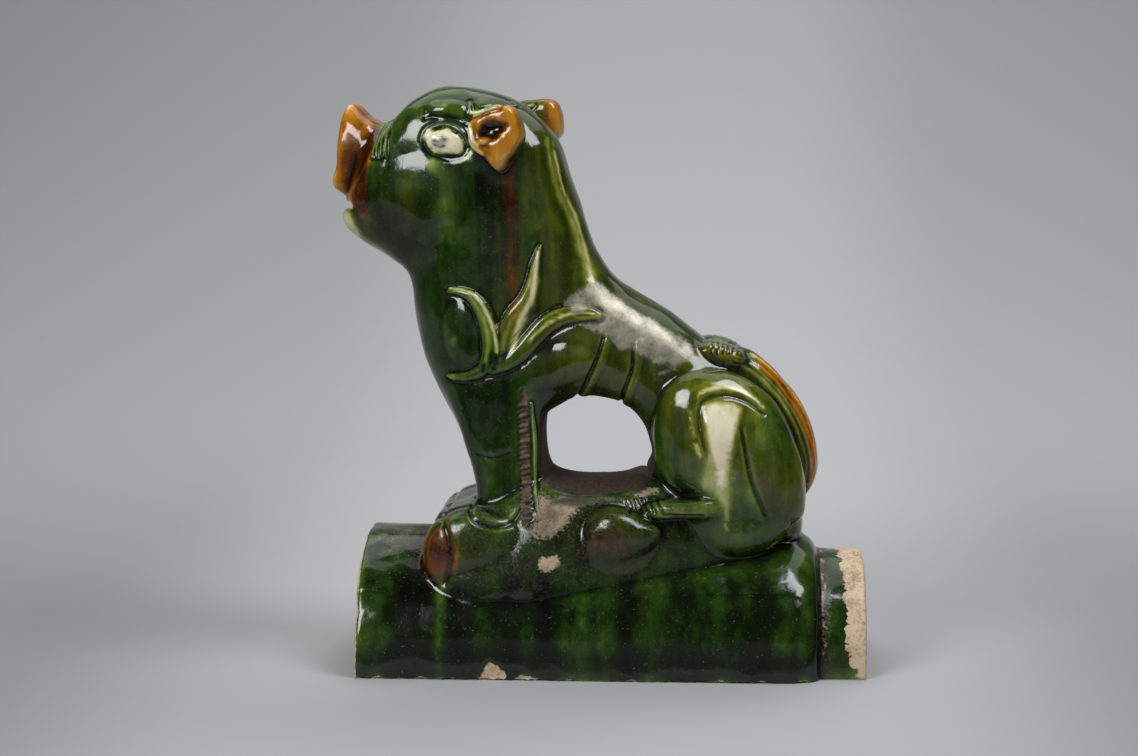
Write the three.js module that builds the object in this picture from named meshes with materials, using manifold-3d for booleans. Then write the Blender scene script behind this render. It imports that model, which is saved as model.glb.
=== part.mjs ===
import * as THREE from 'three';
import { mergeVertices } from 'three/addons/utils/BufferGeometryUtils.js';
import Module from 'manifold-3d';

// A glazed ridge tile with a seated beast on it, all one body of fired clay.
// Millimetres, +Z up. X runs along the tile, the beast looks towards -X, and the
// origin is at the middle of the footprint, on the plane that the tile stands on.

// Tile: half a tube, open below, with a narrower tongue that the next tile covers.
const TILE_RADIUS = 75;
const TILE_WALL = 12;
const TILE_FRONT = -133.6;
const TILE_SHOULDER = 128;
const SHOULDER_ROUNDING = 13;
const TONGUE_END = 154.4;
const TONGUE_RADIUS = 62.4;
const TONGUE_WALL = 11;
const TILE_STEPS = 26;

// Base: the clay that beds the feet on the tile.
const BASE_FRONT = -93;
const BASE_REAR = 119;

// Body and legs.
const CHEST_HALF_WIDTH = 38;
const TUNNEL = { left: -30.5, right: 33, floor: 101.5, roof: 155 };
const LEG_Y = 26;
const HAUNCH = { x: 74, y: 29, z: 131 };

// Head: built looking straight ahead, then turned on the neck.
const HEAD_TURN = THREE.MathUtils.degToRad(-11);
const NECK_X = -62;

const clay = new THREE.MeshStandardMaterial({ color: 0x2f4a16, roughness: 0.25, metalness: 0 });

const wasm = await Module();
wasm.setup();

// A closed geometry as a solid that can be joined and cut. Edges under SHORTEST_EDGE close up.
const SHORTEST_EDGE = 0.05;
function solid(geometry) {
  geometry.deleteAttribute('normal');
  geometry.deleteAttribute('uv');
  const merged = mergeVertices(geometry, 1e-4);
  const vertProperties = Float32Array.from(merged.attributes.position.array);
  const triVerts = Uint32Array.from(merged.index.array);
  return new wasm.Manifold(new wasm.Mesh({
    numProp: 3, vertProperties, triVerts, tolerance: SHORTEST_EDGE,
  }));
}

// Rings of equal count joined into a skin, with both ends closed.
function skin(rings) {
  const count = rings[0].length;
  const middle = (ring) => ring.reduce((sum, p) => sum.add(p), new THREE.Vector3()).divideScalar(count);
  const points = [...rings.flat(), middle(rings[0]), middle(rings.at(-1))];
  const index = [];
  for (let r = 0; r < rings.length - 1; r++) {
    for (let i = 0; i < count; i++) {
      const a = r * count + i;
      const b = r * count + (i + 1) % count;
      index.push(a, b, b + count, a, b + count, a + count);
    }
  }
  const last = (rings.length - 1) * count;
  for (let i = 0; i < count; i++) {
    const j = (i + 1) % count;
    index.push(points.length - 2, j, i, points.length - 1, last + i, last + j);
  }
  const geometry = new THREE.BufferGeometry();
  geometry.setAttribute('position', new THREE.Float32BufferAttribute(points.flatMap((p) => p.toArray()), 3));
  geometry.setIndex(index);
  return geometry;
}

// A section of the body between a lower/front point and an upper/back one, both in
// the middle plane, with a half-width, a squareness and a turn about the neck.
function section([[lx, lz], [ux, uz], halfWidth, squareness = 2.4, turn = 0], sides) {
  const power = 2 / squareness;
  const bend = (v) => Math.sign(v) * Math.abs(v) ** power;
  return Array.from({ length: sides }, (_, i) => {
    const angle = (2 * Math.PI * i) / sides;
    const along = bend(Math.cos(angle)) / 2;
    const point = new THREE.Vector3(
      (lx + ux) / 2 + along * (ux - lx) - NECK_X,
      bend(Math.sin(angle)) * halfWidth,
      (lz + uz) / 2 + along * (uz - lz),
    );
    point.applyAxisAngle(new THREE.Vector3(0, 0, 1), turn * HEAD_TURN);
    point.x += NECK_X;
    return point;
  });
}

function loft(sections, sides = 22) {
  return skin(sections.map((s) => section(s, sides)));
}

// A round-ended form with its own three radii, tipped in the middle plane.
function pebble([x, y, z], [rx, ry, rz], tip = 0, steps = 12) {
  const geometry = new THREE.SphereGeometry(1, steps, Math.round(steps * 0.7));
  geometry.scale(rx, ry, rz);
  geometry.rotateY(THREE.MathUtils.degToRad(tip));
  geometry.translate(x, y, z);
  return geometry;
}

// A round bar of changing thickness along a smooth line through the given points.
function bar(points, thickness, flat = 1, sides = 8, steps = 10) {
  const line = new THREE.CatmullRomCurve3(points.map((p) => new THREE.Vector3(...p)));
  const frames = line.computeFrenetFrames(steps);
  const rings = frames.tangents.map((tangent, k) => {
    const centre = line.getPointAt(k / steps);
    const across = new THREE.Vector3(0, 1, 0).cross(tangent).normalize();
    const out = tangent.clone().cross(across).normalize();
    const radius = thickness(k / steps);
    return Array.from({ length: sides }, (_, i) => {
      const angle = (2 * Math.PI * i) / sides;
      return centre.clone()
        .addScaledVector(across, Math.cos(angle) * radius)
        .addScaledVector(out, Math.sin(angle) * radius * flat);
    });
  });
  return skin(rings);
}

// An outline in the middle plane's directions, given thickness across it from y0 to y1.
function plate(outline, y0, y1, bevel = 0, divisions = 3) {
  const curve = new THREE.CatmullRomCurve3(outline.map(([x, z]) => new THREE.Vector3(x, z, 0)), true);
  const rim = curve.getPoints(outline.length * divisions).slice(0, -1);
  const shape = new THREE.Shape(rim.map((p) => new THREE.Vector2(p.x, p.y)));
  const geometry = new THREE.ExtrudeGeometry(shape, {
    depth: y1 - y0 - 2 * bevel,
    bevelEnabled: bevel > 0,
    bevelSize: bevel,
    bevelThickness: bevel,
    bevelOffset: -bevel,
    bevelSegments: 1,
    curveSegments: 1,
  });
  geometry.rotateX(Math.PI / 2);
  geometry.translate(0, y1 - bevel, 0);
  return geometry;
}

// A cushion-edged slab: a rounded outline that shrinks towards both of its faces.
function slab(outline, halfWidth, edge, steps = 3) {
  const curve = new THREE.CatmullRomCurve3(outline.map(([x, z]) => new THREE.Vector3(x, 0, z)), true);
  const rim = curve.getPoints(outline.length * 2).slice(0, -1);
  const centre = rim.reduce((sum, p) => sum.add(p), new THREE.Vector3()).divideScalar(rim.length);
  const half = Array.from({ length: steps + 1 }, (_, k) => (Math.PI / 2) * (k / steps));
  const levels = [
    ...half.toReversed().map((angle) => [-halfWidth + edge * (1 - Math.sin(angle)), 1 - Math.cos(angle)]),
    ...half.map((angle) => [halfWidth - edge * (1 - Math.sin(angle)), 1 - Math.cos(angle)]),
  ];
  const reach = rim.reduce((most, p) => Math.max(most, p.distanceTo(centre)), 0);
  const rings = levels.map(([y, inset]) => rim.map((p) => {
    const shrunk = p.clone().sub(centre).multiplyScalar(1 - (inset * edge) / reach).add(centre);
    return shrunk.setY(y);
  }));
  return skin(rings);
}

const bothSides = (make) => [...make(-1), ...make(1)];

// The same form, turned with the head about the neck.
function turned(geometry) {
  return geometry.translate(-NECK_X, 0, 0).rotateZ(HEAD_TURN).translate(NECK_X, 0, 0);
}

// A shape in (x, r) swept over half a turn about the X axis, from one rim to the other.
function halfTurned(profile) {
  const rings = Array.from({ length: TILE_STEPS + 1 }, (_, k) => {
    const angle = -Math.PI / 2 + (Math.PI * k) / TILE_STEPS;
    return profile.map(([x, r]) => new THREE.Vector3(x, r * Math.sin(angle), r * Math.cos(angle)));
  });
  return skin(rings);
}

// Tile body and tongue, before the hollow is taken out of them.
function tileBody() {
  const shoulder = Array.from({ length: 5 }, (_, k) => {
    const angle = (Math.PI / 2) * (k / 4);
    return [
      TILE_SHOULDER - SHOULDER_ROUNDING * (1 - Math.sin(angle)),
      TILE_RADIUS - SHOULDER_ROUNDING * (1 - Math.cos(angle)),
    ];
  });
  const core = TONGUE_RADIUS / 2;
  const profile = [
    [TILE_FRONT, core],
    [TILE_FRONT, TILE_RADIUS - 1.5],
    [TILE_FRONT + 1.5, TILE_RADIUS],
    ...shoulder,
    [TONGUE_END, TONGUE_RADIUS],
    [TONGUE_END, core],
  ];
  return halfTurned(profile);
}

// The tile's hollow, a full bore that narrows under the shoulder, taken out of all the clay.
function tileHollow() {
  const over = 5;
  const tongueInner = TONGUE_RADIUS - TONGUE_WALL;
  const profile = [
    [TILE_FRONT - over, TILE_RADIUS - TILE_WALL],
    [TILE_SHOULDER - TILE_WALL - SHOULDER_ROUNDING, TILE_RADIUS - TILE_WALL],
    [TILE_SHOULDER - TILE_WALL, tongueInner],
    [TONGUE_END + over, tongueInner],
  ];
  const rings = profile.map(([x, r]) => Array.from({ length: 2 * TILE_STEPS }, (_, k) => {
    const angle = (Math.PI * k) / TILE_STEPS;
    return new THREE.Vector3(x, r * Math.cos(angle), r * Math.sin(angle));
  }));
  return skin(rings);
}

// Half-width of the base along the tile: widest under the front paws, closing to the rear.
function base() {
  const stations = [
    [BASE_FRONT, 50, 82], [BASE_FRONT + 5, 58, 88], [-70, 62, 92], [-35, 62, 97], [0, 57, 99], [28, 52.5, 100],
    [50, 46.5, 99], [75, 37.5, 97], [95, 25, 93], [108, 13, 89], [BASE_REAR, 4, 84],
  ];
  const foot = 40;
  const rings = stations.map(([x, halfWidth, top]) => {
    const half = Array.from({ length: 7 }, (_, k) => {
      const t = k / 6;
      return [halfWidth * (1 - 0.42 * t ** 2.2), foot + (top - foot) * (1 - (1 - t) ** 1.4)];
    });
    const loop = [...half, ...half.toReversed().map(([y, z]) => [-y, z])];
    return loop.map(([y, z]) => new THREE.Vector3(x, y, z));
  });
  return skin(rings);
}

// Hind body, back and shoulder, from the rump's foot up and forward into the chest.
function barrel() {
  return loft([
    [[34, 70], [120, 72], 34, 2.6],
    [[34, 100], [120, 100], 38, 2.6],
    [[33, 122], [115.5, 122], 38, 2.5],
    [[31, 142], [104, 144], 37, 2.4],
    [[26, 151], [88, 167], 37, 2.5],
    [[12, 152.5], [66, 184], 36.5, 2.5],
    [[-2, 152.5], [43, 201], 36.5, 2.5],
    [[-16, 152], [20, 215], 37, 2.5],
    [[-34, 152], [2, 230], 37, 2.4],
    [[-58, 165], [-22, 244], 30, 2.2],
  ]);
}

// Chest, neck and head in one rising form.
function trunk() {
  return loft([
    [[-66, 80], [-31, 80], 36, 3],
    [[-68, 105], [-31, 105], 37, 3],
    [[-75, 122], [-31, 124], 37.5, 2.8],
    [[-83, 140], [-30, 145], CHEST_HALF_WIDTH, 2.6],
    [[-91, 153], [-15, 160], CHEST_HALF_WIDTH, 2.5],
    [[-98.5, 168], [2, 196], CHEST_HALF_WIDTH, 2.4],
    [[-103, 184], [4, 224], 37.5, 2.4],
    [[-106, 203], [-6, 254], 36, 2.4, 0.15],
    [[-107, 215], [-12.5, 276], 35, 2.5, 0.35],
    [[-110.5, 224.5], [-16.5, 297], 35.5, 2.6, 0.6],
    [[-119, 230], [-21, 313], 37, 2.7, 0.85],
    [[-128, 235.5], [-36, 326], 38.5, 2.8, 1],
    [[-136, 240.5], [-62, 331], 38.5, 2.8, 1],
    [[-142, 245], [-86, 331.5], 37, 2.7, 1],
    [[-146, 248.5], [-103, 325], 34, 2.6, 1],
    [[-149, 251], [-116, 313], 30, 2.5, 1],
    [[-150.5, 255], [-128, 309.5], 27, 2.5, 1],
    [[-148, 262], [-139, 307], 23, 2.4, 1],
  ], 24);
}

// Legs and paws, alike on both sides.
function foreleg(side) {
  const leg = loft([
    [[-67, 84], [-46, 84], 13],
    [[-67.5, 100], [-46, 100], 12.5],
    [[-72, 120], [-46, 118], 12.5],
    [[-81, 142], [-48, 140], 13],
    [[-88, 158], [-50, 158], 12],
  ], 14);
  return [leg.translate(0, side * LEG_Y, 0)];
}

function frontPaw(side) {
  const y = side * 42;
  return [
    pebble([-83, y, 68], [18, 14.5, 21], 8),
    pebble([-62, y - side * 2, 73], [26, 16, 18], 6),
    pebble([-46, y - side * 3, 70], [14, 14, 16]),
  ];
}

function haunch(side) {
  return [
    pebble([HAUNCH.x - 2, side * HAUNCH.y, HAUNCH.z], [38, 21, 41], -8, 18),
    pebble([HAUNCH.x + 11, side * (HAUNCH.y - 4), HAUNCH.z - 17], [33, 21, 38], 14, 16),
    pebble([56, side * 38, 96], [20, 11, 9], 3),
    pebble([30, side * 42, 92], [9, 8, 8], 3, 10),
    pebble([9, side * 47, 79], [15, 10, 14], 3),
  ];
}

// The shoulder's flame: three raised tendrils that rise from one root.
const FLAME = [
  [[-84, 216], [-76, 218], [-69, 216], [-63, 210], [-58, 200], [-55, 189], [-54, 178], [-60, 169], [-72, 166],
    [-82, 166], [-74, 171], [-66, 175], [-63, 183], [-65, 194], [-69, 204], [-75, 211]],
  [[-31, 242], [-36, 234], [-38, 222], [-42, 213], [-50, 204], [-55, 191], [-53, 179], [-46, 177], [-42, 194],
    [-35, 208], [-32, 224]],
  [[3, 204], [-6, 207.5], [-17, 206], [-28, 201], [-38, 192], [-48, 181], [-52, 174], [-43, 173], [-33, 181],
    [-25, 190], [-14, 196.5], [-2, 198]],
];

function flame(side) {
  const [inner, outer] = [28, CHEST_HALF_WIDTH + 2.5];
  const span = side < 0 ? [-outer, -inner] : [inner, outer];
  return FLAME.map((outline) => plate(outline, ...span, 1.2, 2));
}

// Tail: a banded plume laid along the rump in the middle plane, rolled up at its root.
function tail() {
  const plume = bar(
    [[70, 0, 177], [86, 0, 171], [101, 0, 157], [113, 0, 139], [120.5, 0, 120], [121, 0, 103], [115, 0, 88]],
    (t) => 9 * (1 - 0.75 * t ** 5),
    1.5,
    10,
    14,
  );
  return [
    plume,
    pebble([67, -12, 178], [14.5, 10, 9], 5),
    pebble([69, 10, 177], [13, 9, 8], 5),
  ];
}

// What sits on the head, with the head looking straight ahead.
function snout() {
  const side = [
    [-146.5, 320.5], [-143, 321.5], [-139, 318.5], [-133, 313], [-127, 308], [-125, 297], [-126, 280],
    [-132, 265], [-140, 264.5], [-151, 270.5], [-153.6, 274.5], [-151, 286], [-150, 300], [-149, 314],
  ];
  return slab(side, 19, 7);
}

const EAR = { x: -46, y: 36, z: 303 };

function ear(side) {
  return [pebble([EAR.x, side * EAR.y, EAR.z], [16, 12, 18.5], -12, 16)];
}

function earHollow(side) {
  return [pebble([EAR.x + 1, side * (EAR.y + 11), EAR.z + 1], [9.5, 10, 11.5], -12, 12)];
}

function eye(side) {
  return [
    pebble([-80, side * 33.5, 300], [13, 6, 8.5], 4, 14),
    bar(
      [[-97, side * 31, 302], [-90, side * 34, 310], [-78, side * 35, 312.5], [-67, side * 35, 307]],
      (t) => 2.2 + 2.4 * Math.sin(Math.PI * t),
    ),
  ];
}

// The slit between snout and lower lip.
function mouthCut() {
  return plate([[-170, 268], [-134, 262], [-170, 262]], -30, 30, 0, 1);
}

// The gap under the belly, right through from side to side, and the arch of its floor.
function tunnelCut() {
  const { left, right, floor, roof } = TUNNEL;
  const power = 2 / 3.4;
  const bend = (v) => Math.sign(v) * Math.abs(v) ** power;
  const outline = Array.from({ length: 24 }, (_, k) => {
    const angle = (2 * Math.PI * k) / 24;
    return [
      (left + right) / 2 + (bend(Math.cos(angle)) * (right - left)) / 2,
      (floor + roof) / 2 + (bend(Math.sin(angle)) * (roof - floor)) / 2,
    ];
  });
  return plate(outline, -80, 80, 0, 1);
}

function tunnelFloor() {
  const [halfDepth, rise] = [37, 6];
  const rings = [TUNNEL.left - 2, TUNNEL.right + 2].map((x) => {
    const arch = Array.from({ length: 13 }, (_, k) => {
      const y = halfDepth * (1 - k / 6);
      return new THREE.Vector3(x, y, TUNNEL.floor - 1 + (rise + 1) * (1 - (y / halfDepth) ** 2));
    });
    return [...arch, new THREE.Vector3(x, -halfDepth, 90), new THREE.Vector3(x, halfDepth, 90)];
  });
  return skin(rings);
}

// The hollow between the forelegs, and the furrow behind each of them.
function legCuts() {
  const between = loft([
    [[-90, 84], [-60, 84], 13, 2.2],
    [[-90, 110], [-60, 110], 12, 2.2],
    [[-100, 132], [-72, 138], 8, 2.2],
    [[-104, 146], [-86, 152], 2, 2.2],
  ], 12);
  const furrows = bothSides((side) => [bar(
    [[-42, side * 39, 162], [-42, side * 37.5, 130], [-42, side * 37.5, 108], [-41, side * 40, 92]],
    () => 3.4,
  )]);
  return [between, ...furrows];
}

// Furrows between the ribs.
function ribCuts(side) {
  const y = side * 38.5;
  return [
    bar([[6, y, 192], [3, y, 182], [-2, y, 171], [-8, y, 159]], () => 2.6, 1, 6, 6),
    bar([[22, y, 188], [21, y, 176], [18, y, 165], [14, y, 156]], () => 2.6, 1, 6, 6),
  ];
}

const clayAdded = [
  tileBody(),
  base(),
  barrel(),
  trunk(),
  ...bothSides(foreleg),
  ...bothSides(frontPaw),
  ...bothSides(haunch),
  ...bothSides(flame),
  ...tail(),
  ...[snout(), ...bothSides(ear), ...bothSides(eye)].map(turned),
];
const clayCut = [
  tileHollow(),
  tunnelCut(),
  ...legCuts(),
  ...bothSides(ribCuts),
  ...[mouthCut(), ...bothSides(earHollow)].map(turned),
];
const formed = clayAdded.map(solid).reduce((body, more) => body.add(more));
const carved = clayCut.map(solid).reduce((body, less) => body.subtract(less), formed);
const beast = carved.add(solid(tunnelFloor()));

// The surface of the finished solid, with its origin at the middle of the footprint.
const surface = beast.getMesh();
const geometry = new THREE.BufferGeometry();
geometry.setAttribute('position', new THREE.Float32BufferAttribute(surface.vertProperties, 3));
geometry.setIndex(Array.from(surface.triVerts));
const part = new THREE.Mesh(geometry, clay);
part.name = 'ridge_beast';

const object = new THREE.Group();
object.add(part);
export default object;
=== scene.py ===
import math

import bmesh
import bpy
import numpy as np
from mathutils import Matrix, Vector
from mathutils.kdtree import KDTree


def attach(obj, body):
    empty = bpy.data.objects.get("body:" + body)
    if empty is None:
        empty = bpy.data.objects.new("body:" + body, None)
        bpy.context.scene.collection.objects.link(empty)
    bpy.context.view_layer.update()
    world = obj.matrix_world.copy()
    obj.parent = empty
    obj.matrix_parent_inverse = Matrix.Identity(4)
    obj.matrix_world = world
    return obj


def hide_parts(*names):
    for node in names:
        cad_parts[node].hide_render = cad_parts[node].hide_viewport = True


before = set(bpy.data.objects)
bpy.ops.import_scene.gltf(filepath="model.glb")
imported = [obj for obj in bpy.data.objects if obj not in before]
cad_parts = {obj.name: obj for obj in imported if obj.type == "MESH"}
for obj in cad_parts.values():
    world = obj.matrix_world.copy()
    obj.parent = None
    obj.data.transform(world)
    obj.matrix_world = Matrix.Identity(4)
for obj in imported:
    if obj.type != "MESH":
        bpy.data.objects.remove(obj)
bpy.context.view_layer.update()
bpy.ops.object.select_all(action="DESELECT")

# The camera stands level with the beast's shoulder, a little above it and a little
# towards the tail, far enough back for a long lens.
MM = 0.001
AIM = (-16.6, 0, 162.5)
CAMERA_TURN, CAMERA_RISE, CAMERA_REACH = math.radians(3.2), math.radians(6.6), 1450
bpy.ops.object.camera_add(
    location=(
        MM * (AIM[0] + CAMERA_REACH * math.sin(CAMERA_TURN) * math.cos(CAMERA_RISE)),
        MM * (AIM[1] - CAMERA_REACH * math.cos(CAMERA_TURN) * math.cos(CAMERA_RISE)),
        MM * (AIM[2] + CAMERA_REACH * math.sin(CAMERA_RISE)),
    ),
    rotation=(math.pi / 2 - CAMERA_RISE, 0, CAMERA_TURN),
)
camera = bpy.context.object
camera.name = "view_of_ridge_beast"
camera.data.lens = 78.7
camera.data.sensor_width = 36
camera.data.clip_end = 20
bpy.context.scene.camera = camera

# The studio: a sheet of pale paper that sweeps up behind the beast, lit by soft boxes, with a dimly
# glowing card beyond the camera for the glaze to reflect, a painted light. None of it belongs to the
# object.
PAPER_FRONT, PAPER_BACK, PAPER_WIDTH, WALL_TOP, WALL_SWEEP = -0.5, 1.9, 9, 4, 1.1
bpy.context.scene.view_settings.view_transform = "Standard"
bpy.ops.mesh.primitive_plane_add(size=1)
paper_sheet = bpy.context.object
paper_sheet.name = "studio_paper"
bpy.ops.object.mode_set(mode="EDIT")
bpy.ops.transform.resize(value=(PAPER_WIDTH, PAPER_BACK - PAPER_FRONT, 1))
bpy.ops.transform.translate(value=(0, (PAPER_BACK + PAPER_FRONT) / 2, 0))
bpy.ops.mesh.select_mode(type="EDGE")


def select_back_edge():
    """Select only the floor-level edge across the back of the sheet."""
    bpy.ops.mesh.select_all(action="DESELECT")
    sheet = bmesh.from_edit_mesh(paper_sheet.data)
    for edge in sheet.edges:
        edge.select_set(all(abs(v.co.y - PAPER_BACK) < 1e-4 and abs(v.co.z) < 1e-4 for v in edge.verts))
    bmesh.update_edit_mesh(paper_sheet.data)


select_back_edge()
bpy.ops.mesh.extrude_region_move(TRANSFORM_OT_translate={"value": (0, 0, WALL_TOP)})
select_back_edge()
bpy.ops.mesh.bevel(offset=WALL_SWEEP, segments=24)
bpy.ops.object.mode_set(mode="OBJECT")
bpy.ops.object.shade_smooth()


class Wire:
    """A value in a shader: arithmetic on it adds the nodes that work it out."""

    def __init__(self, tree, socket):
        self.tree, self.socket = tree, socket

    def maths(self, operation, *values):
        return self.tree.node("ShaderNodeMath", {"operation": operation}, dict(enumerate(values)))["Value"]

    def __abs__(self):
        return self.maths("ABSOLUTE", self)

    def __add__(self, other):
        return self.maths("ADD", self, other)

    def __sub__(self, other):
        return self.maths("SUBTRACT", self, other)

    def __rsub__(self, other):
        return self.maths("SUBTRACT", other, self)

    def __mul__(self, other):
        return self.maths("MULTIPLY", self, other)

    __radd__, __rmul__ = __add__, __mul__

    def clear_edge(self, middle, softness):
        """0 below the middle, 1 above it, over a width of softness."""
        settings = {"interpolation_type": "SMOOTHSTEP"}
        sockets = {"Value": self, "From Min": middle - softness / 2, "From Max": middle + softness / 2}
        return self.tree.node("ShaderNodeMapRange", settings, sockets)["Result"]


class Recipe:
    """The nodes of one finish."""

    def __init__(self, name):
        self.material = bpy.data.materials.new(name)
        self.material.use_nodes = True
        self.nodes = self.material.node_tree.nodes
        self.shader = self.nodes["Principled BSDF"]

    def plug(self, socket, value):
        if isinstance(value, Wire):
            self.material.node_tree.links.new(value.socket, socket)
        else:
            socket.default_value = value

    def node(self, kind, settings, sockets):
        node = self.nodes.new(kind)
        for name, value in settings.items():
            if name == "stops":
                while len(node.color_ramp.elements) < len(value):
                    node.color_ramp.elements.new(0.5)
                for element, (position, colour) in zip(node.color_ramp.elements, value):
                    element.position, element.color = position, (*colour, 1)
            else:
                setattr(node, name, value)
        for name, value in sockets.items():
            self.plug(node.inputs[name], value)
        return {output.name: Wire(self, output) for output in node.outputs if output.enabled}

    def mix(self, factor, under, over):
        """One colour laid over another."""
        return self.node("ShaderNodeMix", {"data_type": "RGBA"}, {0: factor, 6: under, 7: over})["Result"]

    def layer(self, name):
        return self.node("ShaderNodeAttribute", {"attribute_name": name}, {})["Fac"]


paper = Recipe("studio_paper")
on_paper = paper.node("ShaderNodeTexCoord", {}, {})["Object"]
where = paper.node("ShaderNodeSeparateXYZ", {}, {"Vector": on_paper})
# The paper's colour darkens towards its sides and away from its middle: painted shade where the soft
# boxes' light falls off.
aside = abs(where["X"]).clear_edge(0.25, 0.22) * (1 - where["Y"].clear_edge(0.5, 1) * 0.55)
off_middle = abs(where["Y"] - 0.95).clear_edge(0.6, 1.2)
paper_shade = off_middle * 0.34 + aside * 0.6
paper_colour = paper.mix(paper_shade, (0.45, 0.452, 0.46, 1), (0.2, 0.2, 0.203, 1))
paper.plug(paper.shader.inputs["Base Color"], paper_colour)
paper.shader.inputs["Roughness"].default_value = 0.85
paper_sheet.data.materials.append(paper.material)

CARD_AWAY, CARD_WIDTH, CARD_HEIGHT = 2.2, 5, 0.9
card_place = (0, -CARD_AWAY, CARD_HEIGHT / 2)
bpy.ops.mesh.primitive_plane_add(size=1, location=card_place, rotation=(math.pi / 2, 0, 0))
front_card = bpy.context.object
front_card.name = "studio_front_card"
bpy.ops.object.mode_set(mode="EDIT")
bpy.ops.transform.resize(value=(CARD_WIDTH, 1, CARD_HEIGHT))
bpy.ops.object.mode_set(mode="OBJECT")
# The card's emitted glow is painted light, standing in for a lit card in front of the beast.
glowing_card = Recipe("studio_glowing_card")
glowing_card.shader.inputs["Base Color"].default_value = (0.02, 0.02, 0.02, 1)
glowing_card.shader.inputs["Emission Color"].default_value = (0.95, 0.97, 1, 1)
glowing_card.shader.inputs["Emission Strength"].default_value = 0.16
front_card.data.materials.append(glowing_card.material)

world = bpy.data.worlds.new("studio_air")
bpy.context.scene.world = world
world.use_nodes = True
world.node_tree.nodes["Background"].inputs["Color"].default_value = (0.9, 0.95, 1, 1)
world.node_tree.nodes["Background"].inputs["Strength"].default_value = 0.03


def soft_box(name, direction, distance, width, height, watts, tint=(1, 1, 1)):
    """A rectangular lamp in a direction from the beast's middle, turned to face it."""
    way = Vector(direction).normalized()
    bpy.ops.object.light_add(type="AREA", location=Vector(AIM) * MM + way * distance)
    lamp = bpy.context.object
    lamp.name = name
    lamp.data.shape = "RECTANGLE"
    lamp.data.size = width
    lamp.data.size_y = height
    lamp.data.energy = watts
    lamp.data.color = tint
    lamp.rotation_euler = way.to_track_quat("Z", "Y").to_euler()
    return lamp


soft_box("soft_box_left", (-0.5, -0.7, 0.52), 1.7, 0.7, 0.8, 19)
soft_box("soft_box_right", (0.47, -0.2, 0.83), 1.5, 0.6, 0.8, 14, (0.93, 0.96, 1))
soft_box("soft_box_above", (0, 0.42, 0.9), 2, 2.8, 1.8, 17)
pool = soft_box("soft_box_over_paper", (0.05, 0.54, 0.84), 1.48, 0.7, 0.7, 9)
pool.rotation_euler = (0, 0, 0)
pool.visible_glossy = False


# The tile: half a wheel-thrown tube of buff clay, cut square at the front, with a rounded
# shoulder and a narrower tongue at the rear. It is turned as one profile and halved.
TILE_RADIUS, TILE_WALL = 75, 12
TILE_FRONT, TILE_SHOULDER, SHOULDER_LENGTH, SHOULDER_DROP = -133.6, 128, 22, 12
TONGUE_END, TONGUE_RADIUS, TONGUE_WALL = 154.4, 62.4, 11


def from_rings(name, rings):
    """A closed form skinned over rings of points, given in millimetres."""
    rings = np.asarray(rings, float)
    rows, sides = rings.shape[:2]
    bpy.ops.mesh.primitive_grid_add(x_subdivisions=sides, y_subdivisions=rows - 1, size=1)
    form = bpy.context.object
    form.name = name
    wrapped = np.concatenate([rings, rings[:, :1]], axis=1).reshape(-1, 3)
    form.data.vertices.foreach_set("co", (wrapped * MM).ravel())
    bpy.ops.object.mode_set(mode="EDIT")
    bpy.ops.mesh.select_all(action="SELECT")
    bpy.ops.mesh.remove_doubles(threshold=1e-6)
    bpy.ops.mesh.select_all(action="DESELECT")
    bpy.ops.mesh.select_mode(type="VERT")
    bpy.ops.mesh.select_non_manifold()
    bpy.ops.mesh.fill_holes(sides=0)
    bpy.ops.mesh.select_all(action="SELECT")
    bpy.ops.mesh.normals_make_consistent(inside=False)
    bpy.ops.object.mode_set(mode="OBJECT")
    return form


def half_turned(name, profile):
    """A profile of (x, radius) swept about the tile's axis from rim to rim."""
    angles = np.linspace(-math.pi / 2, math.pi / 2, 97)
    profile = np.asarray(profile, float)
    x = np.repeat(profile[None, :, 0], len(angles), axis=0)
    y = np.sin(angles)[:, None] * profile[None, :, 1]
    z = np.cos(angles)[:, None] * profile[None, :, 1]
    return from_rings(name, np.stack([x, y, z], axis=2))


shoulder = [
    (
        TILE_SHOULDER - SHOULDER_LENGTH * (1 - math.sin(a)),
        TILE_RADIUS - SHOULDER_DROP * (1 - math.cos(a)),
    )
    for a in np.linspace(0, math.pi / 2, 9)
]
tile = half_turned("tile", [
    (TILE_FRONT, TONGUE_RADIUS / 2),
    (TILE_FRONT, TILE_RADIUS - 1.2),
    (TILE_FRONT + 1.2, TILE_RADIUS),
    *shoulder,
    (TONGUE_END, TONGUE_RADIUS),
    (TONGUE_END, TONGUE_RADIUS / 2),
])
forms = [tile]

# The base: wet clay packed round the feet to bed the beast on the tile, widest under the
# front paws and drawn in to nothing at the rump.
BASE_STATIONS = [  # x, half-width on the tile, top
    (-93, 50, 82), (-88, 58, 88), (-70, 62, 94), (-48, 62, 104), (-35, 62, 107), (0, 57, 108),
    (28, 52.5, 107), (50, 48.5, 104), (75, 43, 101), (95, 33, 97), (108, 20, 91), (119, 6, 85),
]


def eased(stations, steps, closed=False):
    """Station values run through a smooth curve, with more stations between them."""
    rows = np.asarray(stations, float)
    if closed:
        before, after = np.roll(rows, 1, axis=0), np.roll(rows, -1, axis=0)
    else:
        before = np.vstack([2 * rows[0] - rows[1], rows[:-1]])
        after = np.vstack([rows[1:], 2 * rows[-1] - rows[-2]])
    slope = (after - before) / 2
    spans = len(rows) if closed else len(rows) - 1
    t = np.linspace(0, 1, steps, endpoint=False)[:, None]
    parts = []
    for i in range(spans):
        j = (i + 1) % len(rows)
        start, end = 2 * t**3 - 3 * t**2 + 1, -2 * t**3 + 3 * t**2
        leave, arrive = t**3 - 2 * t**2 + t, t**3 - t**2
        parts.append(start * rows[i] + leave * slope[i] + end * rows[j] + arrive * slope[j])
    return np.vstack(parts if closed else parts + [rows[-1:]])


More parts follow.
